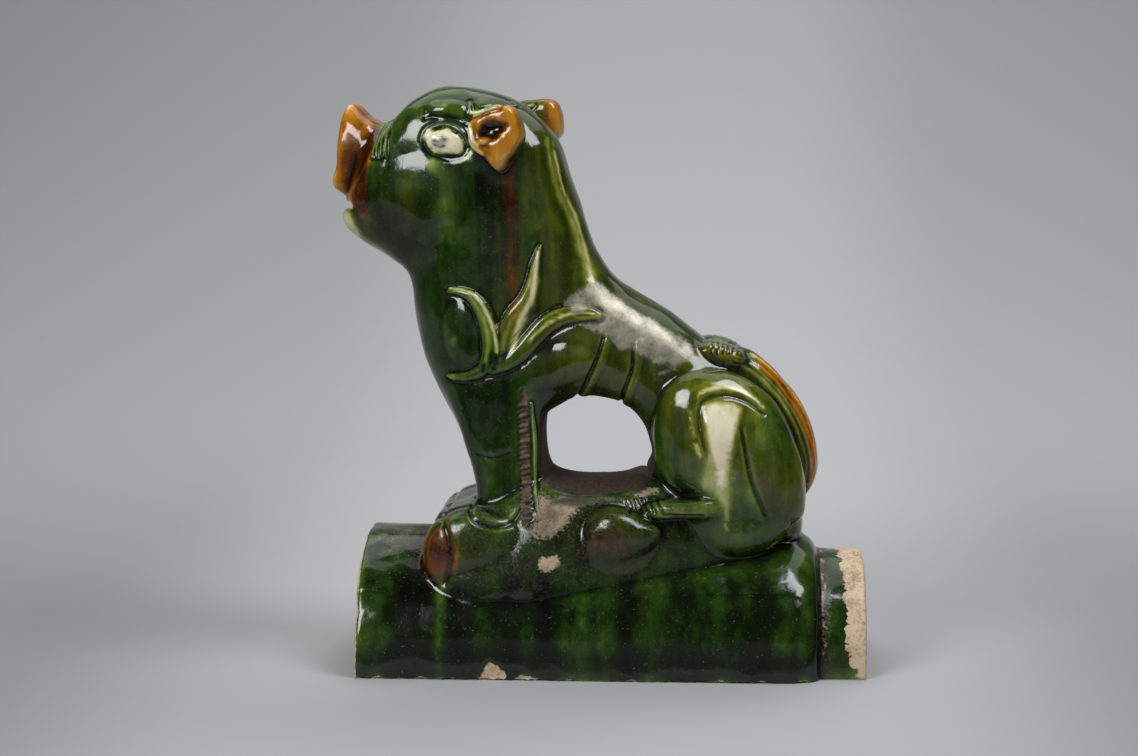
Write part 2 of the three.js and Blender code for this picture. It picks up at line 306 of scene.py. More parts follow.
def base_ring(x, half_width, top, foot=40):
    t = np.linspace(0, 1, 14)
    y = half_width * (1 - 0.5 * t**2.4)
    z = foot + (top - foot) * (1 - (1 - t) ** 1.25)
    half = np.stack([np.full_like(t, x), y, z], axis=1)
    other = half[::-1] * (1, -1, 1)
    return np.vstack([half, other])


forms.append(from_rings("base", [base_ring(*row) for row in eased(BASE_STATIONS, 4)]))

# The body: barrel, chest and neck, pressed in a two-part mould and joined along the back.
# Each section runs from a lower or front point to an upper or back one, with a half-width,
# a squareness and how far it turns with the head.
NECK_X, HEAD_TURN, CHEST_HALF_WIDTH = -62, math.radians(-11), 37
BARREL = [
    (30, 70, 120, 72, 34, 2.6), (30, 100, 120, 100, 38, 2.6), (28, 120, 115.5, 122, 38, 2.5),
    (23, 136, 104, 144, 37, 2.4), (16, 145, 88, 167, 37, 2.5), (6, 149, 66, 184, 36.5, 2.5),
    (-6, 150, 43, 201, 36.5, 2.5), (-18, 149, 20, 215, 37, 2.5), (-34, 149, 2, 230, 37, 2.4),
    (-58, 165, -22, 244, 30, 2.2),
]
TRUNK = [
    (-66, 80, -26, 80, 36, 3, 0), (-68, 105, -26, 105, 37, 3, 0), (-75, 122, -26, 124, 37.5, 2.8, 0),
    (-83, 140, -24, 143, 38, 2.6, 0), (-91, 153, -12, 157, 38, 2.5, 0), (-98.5, 168, 2, 196, 38, 2.4, 0),
    (-103, 184, 4, 224, 37.5, 2.4, 0), (-106, 203, -6, 254, 36, 2.4, 0.15),
    (-107, 215, -13, 274, 35, 2.5, 0.35), (-110.5, 224.5, -18, 291, 35.5, 2.5, 0.6),
    (-119, 230, -25, 305, 37, 2.5, 0.85), (-128, 235.5, -40, 319, 38.5, 2.5, 1),
    (-136, 240.5, -62, 328.5, 38.5, 2.6, 1), (-142, 245, -86, 331.5, 37, 2.7, 1),
    (-146, 248.5, -103, 325, 34, 2.6, 1), (-148, 251, -116, 313, 28, 2.5, 1),
    (-149, 254, -127, 309.5, 20, 2.4, 1), (-146, 260, -137, 306, 14, 2.3, 1),
]


def section(lx, lz, ux, uz, half_width, squareness, turn=0, y=0):
    angle = np.linspace(0, 2 * math.pi, 72, endpoint=False)
    up, side = np.cos(angle), np.sin(angle)
    along = np.sign(up) * np.abs(up) ** (2 / squareness) / 2
    x = (lx + ux) / 2 + along * (ux - lx) - NECK_X
    side = np.sign(side) * np.abs(side) ** (2 / squareness) * half_width
    z = (lz + uz) / 2 + along * (uz - lz)
    c, s = math.cos(turn * HEAD_TURN), math.sin(turn * HEAD_TURN)
    return np.stack([x * c - side * s + NECK_X, x * s + side * c + y, z], axis=1)


def loft(name, stations, y=0):
    return from_rings(name, [section(*row, y=y) for row in eased(stations, 6)])


# The forelegs: two rolls of clay, a little wider at the foot, that run up into the chest.
# The hind legs are thighs and paws pressed on later.
FORELEG_Y = 26
FORELEG = [
    (-69, 82, -42.5, 82, 14, 2.3), (-68.5, 92, -43, 92, 13.5, 2.3), (-69.5, 104, -43.5, 104, 13, 2.3),
    (-73, 120, -44.5, 119, 12.8, 2.3), (-81, 142, -48, 140, 12, 2.3), (-89, 160, -54, 158, 9, 2.2),
]


def apply_modifier(piece, kind, **settings):
    bpy.context.view_layer.objects.active = piece
    modifier = piece.modifiers.new(kind.lower(), kind)
    for name, value in settings.items():
        setattr(modifier, name, value)
    bpy.ops.object.modifier_apply(modifier=modifier.name)


def joined(parts, name):
    bpy.ops.object.select_all(action="DESELECT")
    for part in parts:
        part.select_set(True)
    bpy.context.view_layer.objects.active = parts[0]
    bpy.ops.object.join()
    bpy.context.object.name = name
    return bpy.context.object


class Skin:
    """A form's vertices in millimetres, with the means to smooth and move them."""

    def __init__(self, form):
        self.form = form
        flat = np.zeros(len(form.data.vertices) * 3, np.float32)
        form.data.vertices.foreach_get("co", flat)
        self.places = flat.reshape(-1, 3).astype(float) / MM
        pairs = np.zeros(len(form.data.edges) * 2, np.int32)
        form.data.edges.foreach_get("vertices", pairs)
        self.links = pairs.reshape(-1, 2)
        self.valence = np.maximum(np.bincount(pairs, minlength=len(self.places)), 1)

    def around(self, values):
        """The mean of each vertex's neighbours."""
        total = np.empty_like(values)
        for k in range(values.shape[1]):
            total[:, k] = np.bincount(self.links[:, 0], values[self.links[:, 1], k], len(values))
            total[:, k] += np.bincount(self.links[:, 1], values[self.links[:, 0], k], len(values))
        return total / self.valence[:, None]

    def soften(self, weight, rounds):
        for _ in range(rounds):
            self.places += 0.5 * weight[:, None] * (self.around(self.places) - self.places)

    def spread(self, values, rounds):
        """Values on the vertices, blurred along the skin."""
        values = values[:, None]
        for _ in range(rounds):
            values = 0.5 * values + 0.5 * self.around(values)
        return values[:, 0]

    def put_back(self):
        self.form.data.vertices.foreach_set("co", (self.places * MM).astype(np.float32).ravel())
        self.form.data.update()

    def outward(self):
        self.put_back()
        flat = np.zeros(len(self.places) * 3, np.float32)
        self.form.data.vertex_normals.foreach_get("vector", flat)
        return flat.reshape(-1, 3).astype(float)


# The barrel, trunk and forelegs are worked into one smooth body before anything is laid on
# it: the clay is drawn across the hollow of the neck and over the tops of the legs.
body = joined(
    [loft("barrel", BARREL), loft("trunk", TRUNK)]
    + [loft("foreleg", FORELEG, y=side * FORELEG_Y) for side in (-1, 1)],
    "body",
)
BODY_VOXEL, DRAWN_SPOTS = 0.0025, ((4, 226, 34, 60), (-84, 160, 26, 40), (-38, 158, 20, 24))
apply_modifier(body, "REMESH", mode="VOXEL", voxel_size=BODY_VOXEL)
body_skin = Skin(body)
for spot_x, spot_z, reach, rounds in DRAWN_SPOTS:
    gap = np.hypot(body_skin.places[:, 0] - spot_x, body_skin.places[:, 2] - spot_z) / reach
    body_skin.soften(np.exp(-(gap**4)), rounds)
body_skin.soften(np.ones(len(body_skin.places)), 2)
body_skin.put_back()
forms.append(body)


# The thighs and paws: pats of clay pressed on, each an outline seen from the side that
# rounds off towards the flanks.
def pat(name, outline, y, half_width, squareness, levels=19):
    rim = eased(outline, 6, closed=True)
    centre = rim.mean(axis=0)
    rings = []
    for angle in np.linspace(-math.pi / 2, math.pi / 2, levels + 2)[1:-1]:
        out = math.copysign(abs(math.sin(angle)) ** (2 / squareness), angle) * half_width
        shrunk = centre + (rim - centre) * math.cos(angle) ** (2 / squareness)
        rings.append(np.stack([shrunk[:, 0], np.full(len(rim), y + out), shrunk[:, 1]], axis=1))
    return from_rings(name, rings)


THIGH = [
    (33.5, 148), (37, 162), (47, 170), (61, 172), (78, 170), (93, 161.5), (106, 148), (115.5, 130),
    (120, 110), (120.5, 95), (118, 86), (106, 80), (91, 77), (76, 80), (63, 91), (45, 103), (36, 115),
    (33, 132),
]
FRONT_PAW = [
    (-98, 62), (-97, 74), (-92.5, 83), (-83, 89.5), (-70, 93), (-56, 90), (-44, 87), (-36.5, 80),
    (-35, 66), (-37, 54), (-52, 47), (-72, 44), (-90, 46), (-96, 52),
]
HIND_PAW = [
    (-8, 68), (-8, 80), (-2, 90), (7, 94.5), (18, 93.5), (30, 88), (38, 81), (34, 70), (18, 61), (0, 59),
]
HIND_SOLE = [
    (27, 90), (29, 95.5), (38, 98), (52, 99), (68, 100), (80, 96), (76, 89), (60, 88), (44, 88),
    (32, 87),
]
RUMP_CLAY = [
    (50, 102), (54, 82), (64, 69), (80, 64), (96, 67), (108, 76), (113, 90), (100, 106), (75, 112),
]
for side in (-1, 1):
    forms.append(pat("thigh", THIGH, side * 27, 25, 2.5))
    forms.append(pat("rump_clay", RUMP_CLAY, side * 27, 20.5, 3.2))
    forms.append(pat("front_paw", FRONT_PAW, side * 44, 16.5, 2.7))
    forms.append(pat("hind_sole", HIND_SOLE, side * 43, 9.5, 2.2))
    forms.append(pat("hind_paw", HIND_PAW, side * 45, 14.5, 2.3))


# The tail: a flat plume of clay laid down the rump in the middle plane, its root rolled up.
def bar(name, points, radius, flat, sides=32, steps=48):
    """A bar along a smooth line in the middle plane's directions, of changing radius."""
    line = eased(points, 12)
    reach = np.concatenate([[0], np.cumsum(np.linalg.norm(np.diff(line, axis=0), axis=1))])
    t = np.linspace(0, 1, steps + 1)
    centre = np.stack([np.interp(t * reach[-1], reach, line[:, k]) for k in range(3)], axis=1)
    tangent = np.gradient(centre, axis=0)
    tangent /= np.linalg.norm(tangent, axis=1)[:, None]
    across = np.cross((0, 1, 0), tangent)
    across /= np.linalg.norm(across, axis=1)[:, None]
    out = np.cross(tangent, across)
    angle = np.linspace(0, 2 * math.pi, sides, endpoint=False)
    r = np.array([radius(v) for v in t])[:, None, None]
    rings = (
        centre[:, None]
        + across[:, None] * np.cos(angle)[None, :, None] * r
        + out[:, None] * np.sin(angle)[None, :, None] * r * flat
    )
    return from_rings(name, rings)


PLUME = [
    (72, 0, 175), (86, 0, 171), (101, 0, 158), (113, 0, 141), (120.5, 0, 122), (121.5, 0, 107),
    (117, 0, 92),
]
TAIL_ROLL = [
    (53.5, 177), (56, 184), (64, 187), (75, 186), (84, 181), (86, 174), (78, 169.5), (66, 168.5),
    (56, 170),
]
forms.append(bar("plume", PLUME, lambda t: 9.2 * (1 - 0.8 * t**5), 1.7))
for side in (-1, 1):
    forms.append(pat("tail_roll", TAIL_ROLL, side * 13, 14, 3))


# The head's parts, modelled looking straight ahead and then turned with the head.
def turned(form):
    neck = Matrix.Translation((NECK_X * MM, 0, 0))
    form.data.transform(neck @ Matrix.Rotation(HEAD_TURN, 4, "Z") @ neck.inverted())
    return form


NEAR_SIDE = 33
across, ahead = math.cos(HEAD_TURN), math.sin(HEAD_TURN)


def on_head(points):
    """Points seen on the near cheek, given as the head lies, moved to the head looking ahead."""
    return [(NECK_X + (px - NECK_X) * across - NEAR_SIDE * ahead, pz, *rest) for px, pz, *rest in points]


SNOUT = [
    (-147.5, 318), (-145, 321.5), (-141.5, 319), (-136, 313.5), (-129, 309), (-126.5, 297),
    (-127.5, 281), (-131, 267), (-138, 264), (-149, 269.5), (-153.8, 274.5), (-151.5, 286),
    (-150.5, 300), (-149.5, 312),
]
LOWER_LIP = [
    (-146, 261), (-149, 257), (-147, 250.5), (-139, 244), (-130, 240), (-126, 248), (-130, 257),
    (-139, 261.5),
]
EAR = [
    (-68, 314), (-60, 318.5), (-50, 321), (-42.5, 319.5), (-38.5, 311), (-37.5, 303), (-41, 296),
    (-46, 290.5), (-50.5, 284.5), (-54.5, 286.5), (-58.5, 291.5), (-64, 295), (-68.5, 299), (-69.5, 306),
]
snout = pat("snout", SNOUT, 0, 19, 5)
for vertex in snout.data.vertices:
    top = min(max((vertex.co.z / MM - 292) / 30, 0), 1)
    vertex.co.y *= 1 - 0.42 * top * top
forms.append(turned(snout))
forms.append(turned(pat("lower_lip", LOWER_LIP, 0, 18, 2.6)))
FAR_EAR = [
    (-66, 316), (-56, 322.5), (-45, 323.6), (-34, 323.4), (-30, 317.5), (-28.6, 309), (-29.5, 302.5),
    (-36, 297), (-44, 292), (-54, 293), (-62, 299), (-66, 308),
]
forms.append(turned(pat("near_ear", on_head(EAR), -38, 9.5, 4.6)))
forms.append(turned(pat("far_ear", FAR_EAR, 37, 9.5, 4.5)))

# All the clay worked into one, then the belly gap and the tile's hollow cut out.
VOXEL = 0.00085
beast = joined(forms, "glazed_ridge_beast")
apply_modifier(beast, "REMESH", mode="VOXEL", voxel_size=VOXEL)

TUNNEL = [
    (-31, 122), (-30.8, 136), (-28.5, 145), (-20, 150.5), (-10, 154.8), (4, 154.2), (16, 150.5),
    (26, 142), (31.5, 130), (32.5, 118), (29, 107.5), (19, 101), (2, 99.5), (-15, 99.8), (-25.5, 103),
    (-30, 111),
]
TUNNEL_SILL = 7


def tunnel_ring(y):
    """The belly gap's outline at y: its floor rises to a sill in the middle."""
    ring = eased(TUNNEL, 6, closed=True)
    sill = TUNNEL_SILL * max(0, 1 - (y / CHEST_HALF_WIDTH) ** 2)
    low = np.clip((128 - ring[:, 1]) / 26, 0, 1)
    return np.stack([ring[:, 0], np.full(len(ring), y), ring[:, 1] + sill * low], axis=1)


tunnel = from_rings("tunnel", [tunnel_ring(y) for y in np.linspace(-80, 80, 41)])
bore = [
    (TILE_FRONT - 5, TILE_RADIUS - TILE_WALL),
    (TILE_SHOULDER - 25, TILE_RADIUS - TILE_WALL),
    (TILE_SHOULDER - TILE_WALL, TONGUE_RADIUS - TONGUE_WALL),
    (TONGUE_END + 5, TONGUE_RADIUS - TONGUE_WALL),
]
turn = np.linspace(0, 2 * math.pi, 128, endpoint=False)
hollow = from_rings("hollow", [
    np.stack([np.full_like(turn, x), r * np.cos(turn), r * np.sin(turn)], axis=1) for x, r in bore
])
mouth = turned(from_rings("mouth", [
    [(-175, y, 278.5), (-132.5, y, 262), (-175, y, 254.5)] for y in (-45, 0, 45)
]))
for cutter in (tunnel, hollow, mouth):
    apply_modifier(beast, "BOOLEAN", object=cutter, operation="DIFFERENCE", solver="MANIFOLD")
    bpy.data.objects.remove(cutter)
apply_modifier(beast, "REMESH", mode="VOXEL", voxel_size=VOXEL)

# The clay surface is worked over by hand: joins softened, then lines pressed in and
# slips of clay laid on. Every stroke is a line in the middle plane's directions, made on
# both flanks, and pushes the skin in or out along its own normal.
skin = Skin(beast)


def rise(value, low, high):
    """0 below low, 1 above high, eased between."""
    t = np.clip((value - low) / (high - low), 0, 1)
    return t * t * (3 - 2 * t)


x, y, z = skin.places.T
on_tile = rise(-z + np.where(np.abs(y) < 58, 46, 60), 0, 6) * rise(np.hypot(y, z), 40, 60)
skin.soften(1 - 0.85 * on_tile, 8)
x, y, z = skin.places.T
BLENDED_SPOTS = [  # x, z, reach along x and z, how far out in y it starts
    (80, 79, 26, 15, 28), (12, 66, 26, 11, 40), (-136, 280, 12, 26, 4),
]
for spot_x, spot_z, reach_x, reach_z, from_y in BLENDED_SPOTS:
    blend = np.exp(-(np.hypot((x - spot_x) / reach_x, (z - spot_z) / reach_z) ** 4))
    skin.soften(blend * (np.abs(y) > from_y), 80)

# Every vertex as it lies, and as it would lie with the head looking straight ahead.
x, y, z = skin.places.T
head_x = (x - NECK_X) * across + y * ahead + NECK_X
head_y = -(x - NECK_X) * ahead + y * across
lift, press, swells = np.zeros((3, len(skin.places)))
MIDDLE_BAND = 6


def stroke(points, head=False, reach=14):
    """Vertices near a smooth line, how far off and on which hand, and the line's half-width there.

    Each point is (x, z, half-width), and vertices near the middle plane stay out.
    """
    if head:
        points = on_head(points)
    u, v = (head_x, head_y) if head else (x, y)
    line = eased(points, 8)
    low, high = line[:, :2].min(axis=0) - reach, line[:, :2].max(axis=0) + reach
    inside = (u > low[0]) & (u < high[0]) & (z > low[1]) & (z < high[1])
    index = np.nonzero(inside & (np.abs(v) > MIDDLE_BAND))[0]
    here = np.stack([u[index], z[index]], axis=1)
    nearest, width, hand = np.full(len(index), 1e9), np.ones(len(index)), np.ones(len(index))
    for start, end in zip(line[:-1], line[1:]):
        step = (end - start)[:2]
        t = np.clip(((here - start[:2]) @ step) / (step @ step), 0, 1)
        away = here - (start[:2] + t[:, None] * step)
        gap = np.linalg.norm(away, axis=1)
        closer = gap < nearest
        nearest[closer] = gap[closer]
        hand[closer] = np.sign(step[0] * away[:, 1] - step[1] * away[:, 0])[closer]
        width[closer] = (start[2] + t * (end[2] - start[2]))[closer]
    return index, nearest, np.maximum(width, 0.3), hand


def laid_on(height, points, head=False, crease=1, merged=0):
    """A rounded slip of clay laid along a line, with a pressed crease round it.

    On the merged hand, 1 or -1, it is smoothed out into the body instead.
    """
    index, gap, width, hand = stroke(points, head)
    smoothed = hand * merged > 0
    rounded = np.clip(1 - (gap / width) ** 2, 0, 1) ** 0.4
    body = np.where(smoothed, np.exp(-((gap / (1.1 * width)) ** 2)), rounded)
    lift[index] = np.maximum(lift[index], height * body)
    dent = crease * np.exp(-(((gap - width - 0.8) / 1) ** 2)) * ~smoothed
    press[index] = np.maximum(press[index], dent)


def cut_in(depth, points, head=False):
    """A groove pressed along a line."""
    index, gap, width, _ = stroke(points, head)
    press[index] = np.maximum(press[index], depth * np.exp(-((gap / width) ** 2)))


def oval(centre, radii, head=False, tip=0):
    """Each vertex's distance from a tipped oval's centre, 1 on the oval itself."""
    cx, cz = on_head([centre])[0] if head else centre
    u, v = (head_x, head_y) if head else (x, y)
    c, s = math.cos(math.radians(tip)), math.sin(math.radians(tip))
    du, dz = u - cx, z - cz
    r = np.hypot((du * c + dz * s) / radii[0], (-du * s + dz * c) / radii[1])
    return np.where(np.abs(v) > MIDDLE_BAND, r, 9)


def swell(height, centre, radii, head=False, power=2, tip=0):
    """A low mound, or a hollow if the height is below nothing."""
    swells[:] += height * np.clip(1 - oval(centre, radii, head, tip) ** power, 0, 1)


# The shoulder's flame: three tendrils from one root, each a flat leaf with a raised back.
CURL = [
    (-83.5, 215.5, 1), (-76, 215, 2.4), (-69.5, 212, 3.6), (-64.5, 205.5, 4.4), (-61, 197, 4.8),
    (-59.5, 188, 4.8), (-60, 179, 4.6), (-63.5, 171.5, 4.2), (-71, 167.5, 3.4), (-80, 166.5, 2.4),
    (-84, 167, 1),
]
UPRIGHT = [
    (-31.5, 241, 0.8), (-34, 231, 2.4), (-35.8, 220, 3.4), (-39, 210, 5), (-45, 202, 5.6),
    (-49.5, 193, 5.6), (-52, 184, 5), (-54, 176, 4),
]
TRAILING = [
    (2.5, 201.5, 2.6), (-5, 203, 4.2), (-17, 202, 5.4), (-27, 197, 5.8), (-35, 189, 5.6),
    (-42, 181, 5.4), (-50, 175, 4.5), (-58, 172, 4),
]
FLAME_HEIGHT = 3.2
for tendril, merged in ((CURL, 0), (UPRIGHT, 1), (TRAILING, 0)):
    laid_on(FLAME_HEIGHT, tendril, crease=0.6, merged=merged)
swell(2.2, (-76, 191), (12, 20), power=2.4, tip=8)
swell(1.8, (-21, 173), (22, 13), power=2.2, tip=18)
swell(-0.9, (-6, 203), (7, 2), power=2, tip=2)

# Lines pressed between the ribs, round the thigh, behind the foreleg and across its knee.
RIBS = [
    [(5, 190, 0.7), (2, 180, 0.9), (-2, 170, 1.1), (-7, 159, 1), (-12, 153, 0.8)],
    [(22, 186, 0.7), (21, 172, 0.9), (17, 160, 1), (14, 150, 0.8)],
]
for rib in RIBS:
    cut_in(1.7, rib)
    laid_on(0.5, [(px + 3.4, pz + 0.5, 2.4) for px, pz, _ in rib], crease=0)
THIGH_ARC = [
    (67, 119, 0.8), (62, 132, 1.1), (59.5, 145, 1.3), (61, 154, 1.4), (68, 158.5, 1.4), (78, 158.5, 1.4),
    (88, 154.5, 1.2), (96, 148, 0.8),
]
SHIN_LINE = [(83, 141, 0.8), (86, 125, 1.2), (90, 108, 1.4), (97, 91, 1.2)]
cut_in(1.2, THIGH_ARC)
cut_in(1.3, SHIN_LINE)
swell(1.8, (71, 137), (12, 20), power=2.2, tip=-6)
cut_in(0.5, [(-68, 123, 0.6), (-58, 121, 0.8), (-48, 124, 0.6)])
ROPE = [(-40.5, 158, 2), (-40, 140, 2.8), (-39.5, 120, 3), (-38.5, 100, 3), (-36.5, 88, 2.6)]
ROPE_PITCH, ROPE_FOOT, ROPE_TOP = 3, 88, 156
cut_in(2.2, ROPE)
for k in range(int((ROPE_TOP - ROPE_FOOT) / ROPE_PITCH)):
    notch = ROPE_FOOT + k * ROPE_PITCH
    middle = np.interp(notch, [ROPE_FOOT, 120, ROPE_TOP], [-37.5, -39.5, -40.5])
    swell(2.2 + 0.9 * math.sin(2.4 * k), (middle, notch), (3.4, 1.5), tip=8 + 10 * math.sin(1.7 * k))
LEG_SEAM = [(-36, 152, 0.8), (-34.8, 130, 1.2), (-34.5, 112, 1.3), (-33, 98, 1.2), (-30, 88, 0.8)]
laid_on(1.3, LEG_SEAM, crease=0.6)

# Toes, ankles and the folds of the hind feet.
cut_in(1.2, [(-87, 90, 1.4), (-82, 78, 2), (-80.5, 66, 2.2), (-84, 52, 1.6)])
cut_in(1.6, [(-72, 96, 1), (-67, 88, 1.5), (-56, 84.5, 1.6), (-46, 86.5, 1.5), (-41, 93, 1)])
for k in range(5):
    cut_in(1, [(18 + 4.6 * k, 97.5, 0.5), (21 + 4.6 * k, 92, 0.9)])
cut_in(1.2, [(40, 91, 0.8), (50, 90.5, 1), (62, 90.5, 0.8)])
CLAWS = (36.5, 52)
on_toes = rise(-x, 84, 88) * (x > -101) * rise(z, 50, 56) * (1 - rise(z, 88, 92))
on_toes *= np.hypot(y, z) > TILE_RADIUS + 1
for claw in CLAWS:
    press = np.maximum(press, on_toes * np.exp(-(((np.abs(y) - claw) / 2.2) ** 2)))

# The eye: a ball in an almond socket with a rolled lid, under a heavy brow.
EYE, EYE_TIP = (-85, 300.3), -11
swell(3, (-99, 268), (27, 27), True, power=2)
swell(-0.8, (-85, 300.5), (17, 13), True, power=2, tip=EYE_TIP)
swell(2.8, EYE, (12.2, 7.2), True, power=3.4, tip=EYE_TIP)
UPPER_LID = [
    (-98, 301.5, 0.8), (-95, 306.5, 1.3), (-88, 309.6, 1.6), (-80, 308.6, 1.6), (-74, 304, 1.3),
    (-71.5, 298.5, 0.8),
]
LOWER_LID = [(-97.5, 299, 0.7), (-93, 293.3, 0.9), (-83, 290.6, 1.1), (-75, 291.6, 1), (-71.5, 296, 0.7)]
laid_on(1, UPPER_LID, True, 0.35)
cut_in(0.5, LOWER_LID, True)
swell(2.6, (-84.5, 318.5), (14, 5.5), True, tip=-4)
cut_in(0.9, [(-98.5, 313, 0.8), (-92, 314.2, 1.3), (-82, 313.8, 1.4), (-73.5, 310, 1)], True)
cut_in(0.4, [(-98, 312, 0.9), (-97.5, 318, 1.2), (-96, 322, 0.9)], True)

# The ear: a cup with a thick rim, a ridge of clay running to it from the temple.
swell(-3.2, (-55, 307), (8, 7), True, power=1.6, tip=35)
swell(1.6, (-58.5, 301.5), (5, 2.6), True, tip=20)
swell(-1.4, (-48, 309), (5, 4), True, tip=10)
TEMPLE = [(-73.5, 322, 0.6), (-71.5, 316, 1.4), (-65, 316.5, 1.6), (-57, 319, 1.4), (-50, 320, 0.8)]
laid_on(1.2, TEMPLE, True, 0.5)
laid_on(0.8, [(-69, 311, 0.8), (-67.5, 304, 1.4), (-65, 298, 1.4), (-59, 294, 1)], True, 0)

# Wrinkles behind the snout, the nostrils, and the mouth's corner.
for k in range(4):
    fold = -131 + 3 * k
    laid_on(1.2, [(fold, 314 - 0.8 * k, 0.9), (fold + 0.2, 303, 1.1), (fold + 1, 291, 0.5)], True, 0.9)
NOSTRIL_Y, NOSTRIL_Z = 7.5, 296
nostril = np.hypot((np.abs(head_y) - NOSTRIL_Y) / 3.2, (z - NOSTRIL_Z) / 4.5)
swells -= 4 * np.clip(1 - nostril**2, 0, 1) * (head_x < -145)


# Lines combed along the tail, and ribs across its root.
def combed(depth, offset, width):
    """A line along the tail's near and far faces, set in from its outer edge."""
    middle = eased([(px, pz) for px, _, pz in PLUME], 6)
    way = np.gradient(middle, axis=0)
    way /= np.linalg.norm(way, axis=1)[:, None]
    line = middle + np.stack([way[:, 1], -way[:, 0]], axis=1) * offset
    cut_in(depth, [(*spot, width) for spot in line[3:-3:4]])


for offset, depth in ((-6.5, 0.3), (-4, 0.3), (-1.2, 1.1), (2.6, 0.25)):
    combed(depth, offset, 0.8)
for k in range(6):
    cut_in(0.7, [(67 + 3.2 * k, 188, 0.6), (66 + 3.2 * k, 180, 0.7)])


# The surface is never quite even: hills of a few sizes, left by fingers and by the slip.
def wander(size, seed, stretch=1):
    """Smooth random hills of about the given size, between -1 and 1, on every vertex."""
    lattice = np.random.default_rng(seed).uniform(-1, 1, (32, 32, 32))
    at = skin.places * stretch / size + 1000
    cell = np.floor(at).astype(int)
    f = at - cell
    f = f * f * (3 - 2 * f)
    total = np.zeros(len(at))
    for corner in np.ndindex(2, 2, 2):
        weight = np.prod(np.where(corner, f, 1 - f), axis=1)
        total += weight * lattice[tuple(((cell + corner) % 32).T)]
    return total


uneven = 0.8 * wander(26, 1) + 0.42 * wander(11, 2) + 0.09 * wander(3.6, 3)
uneven *= 1 - 0.35 * on_tile

# Chips: bites out of the tile's rims, and rough clay where glaze and slip have come away.
CHIPS = [  # x, z, length, height
    (-56, 2, 8.5, 8.5), (-39, -1, 8, 5.5), (-28, 0, 3.5, 1.2), (-80, 0, 4, 1.6), (-96, 0, 3, 1.2),
    (22, 0, 4, 1.6), (61, 0, 5, 1.6), (85, -1, 7, 2.4), (120, 0, 6, 2), (-15, 0, 3, 1), (44, 0, 3, 1.2),
]
chipped = np.zeros(len(skin.places))
ragged = 0.35 * wander(2.6, 4)
for chip_x, chip_z, length, height in CHIPS:
    r = np.hypot((x - chip_x) / length, (z - chip_z) / height) + ragged
    chipped = np.maximum(chipped, np.clip((1 - r) * 2.5, 0, 1) * (y < -60))
for chip_side, seed in ((-1, 5), (1, 6)):
    edge = np.hypot(z / 2.2, (np.abs(y) - 75) / 3) + 1.2 * wander(6, seed) + 0.75
    chipped = np.maximum(chipped, np.clip((1 - edge) * 2, 0, 1) * (y * chip_side > 0))
front_edge = np.hypot((x - TILE_FRONT) / 1.6, (np.hypot(y, z) - TILE_RADIUS) / 1.6)
front_bites = np.clip((0.5 - front_edge + 0.8 * wander(5, 7)) * 1.5, 0, 1) * (x < -130)
chipped = np.maximum(chipped, front_bites)
rough = wander(1.7, 8)

normals = skin.outward()
skin.places += normals * (swells + lift - press + uneven)[:, None]
skin.soften(np.full(len(skin.places), 0.5), 2)
normals = skin.outward()
skin.places -= normals * (chipped * (1.1 + 0.5 * rough))[:, None]
skin.put_back()

# The glazing: slip and glaze are painted on coat by coat, each coat a value on every
# vertex. Glaze thins to pale yellow on edges and pools to near black in hollows.
hollow_way = np.einsum("ij,ij->i", skin.around(skin.places) - skin.places, normals)


def bends(rounds):
    """How the skin bends, above 0 on edges and below it in hollows, blurred along it."""
    bend = -skin.spread(hollow_way, rounds)
    return np.clip(bend / np.percentile(np.abs(bend), 90), -2.5, 2.5)


sharp_edge, broad_edge = bends(2), bends(40)
near, off_axis = y < 0, np.hypot(y, z)
# The paleness coat holds how thin the glaze lies and also painted highlights: on the thigh, the shoulder's
# bulge, the brow and the ear's rim.
COATS = ("thin", "olive", "amber", "bare", "worn", "grime", "ink")
coats = {name: np.zeros(len(skin.places)) for name in COATS}
frayed = 1 + 0.34 * wander(6, 31) + 0.16 * wander(2.2, 32)


def lay(coat, value):
    """Keep a coat's own value or the new one, whichever is higher."""
    coats[coat][:] = np.maximum(coats[coat], value)


def brushed(coat, amount, points, head=False):
    """A soft line of colour with a frayed edge, taken off if the amount is below nothing."""
    index, gap, width, _ = stroke(points, head)
    before, value = coats[coat][index], amount * np.exp(-((gap * frayed[index] / width) ** 2))
    coats[coat][index] = np.maximum(before, value) if amount > 0 else before + value


def dabbed(coat, amount, centre, radii, head=False, tip=0, power=3, where=1):
    """A soft oval of colour, taken off if the amount is below nothing."""
    value = amount * np.exp(-((oval(centre, radii, head, tip) * frayed) ** power)) * where
    if amount > 0:
        lay(coat, value)
    else:
        coats[coat] += value


def inside(outline, feather, head=False):
    """1 inside an outline seen from the side, 0 outside, with a feathered edge."""
    if head:
        outline = on_head(outline)
    ring = eased(outline, 4, closed=True)
    u = head_x if head else x
    depth, crossings = np.full(len(u), 1e9), np.zeros(len(u), int)
    for start, end in zip(ring, np.roll(ring, -1, axis=0)):
        step = end - start
        t = np.clip(((u - start[0]) * step[0] + (z - start[1]) * step[1]) / (step @ step), 0, 1)
        depth = np.minimum(depth, np.hypot(u - start[0] - t * step[0], z - start[1] - t * step[1]))
        spans = (start[1] > z) != (end[1] > z)
        with np.errstate(divide="ignore", invalid="ignore"):
            cross_x = start[0] + (z - start[1]) * step[0] / step[1]
        crossings += spans & (u < cross_x)
    signed = np.where(crossings % 2 == 1, depth, -depth)
    return np.clip(0.5 + signed / (2 * feather), 0, 1)


def flooded(coat, amount, outline, feather, head=False, where=1):
    """A patch of colour that fills an outline."""
    lay(coat, amount * inside(outline, feather, head) * where)


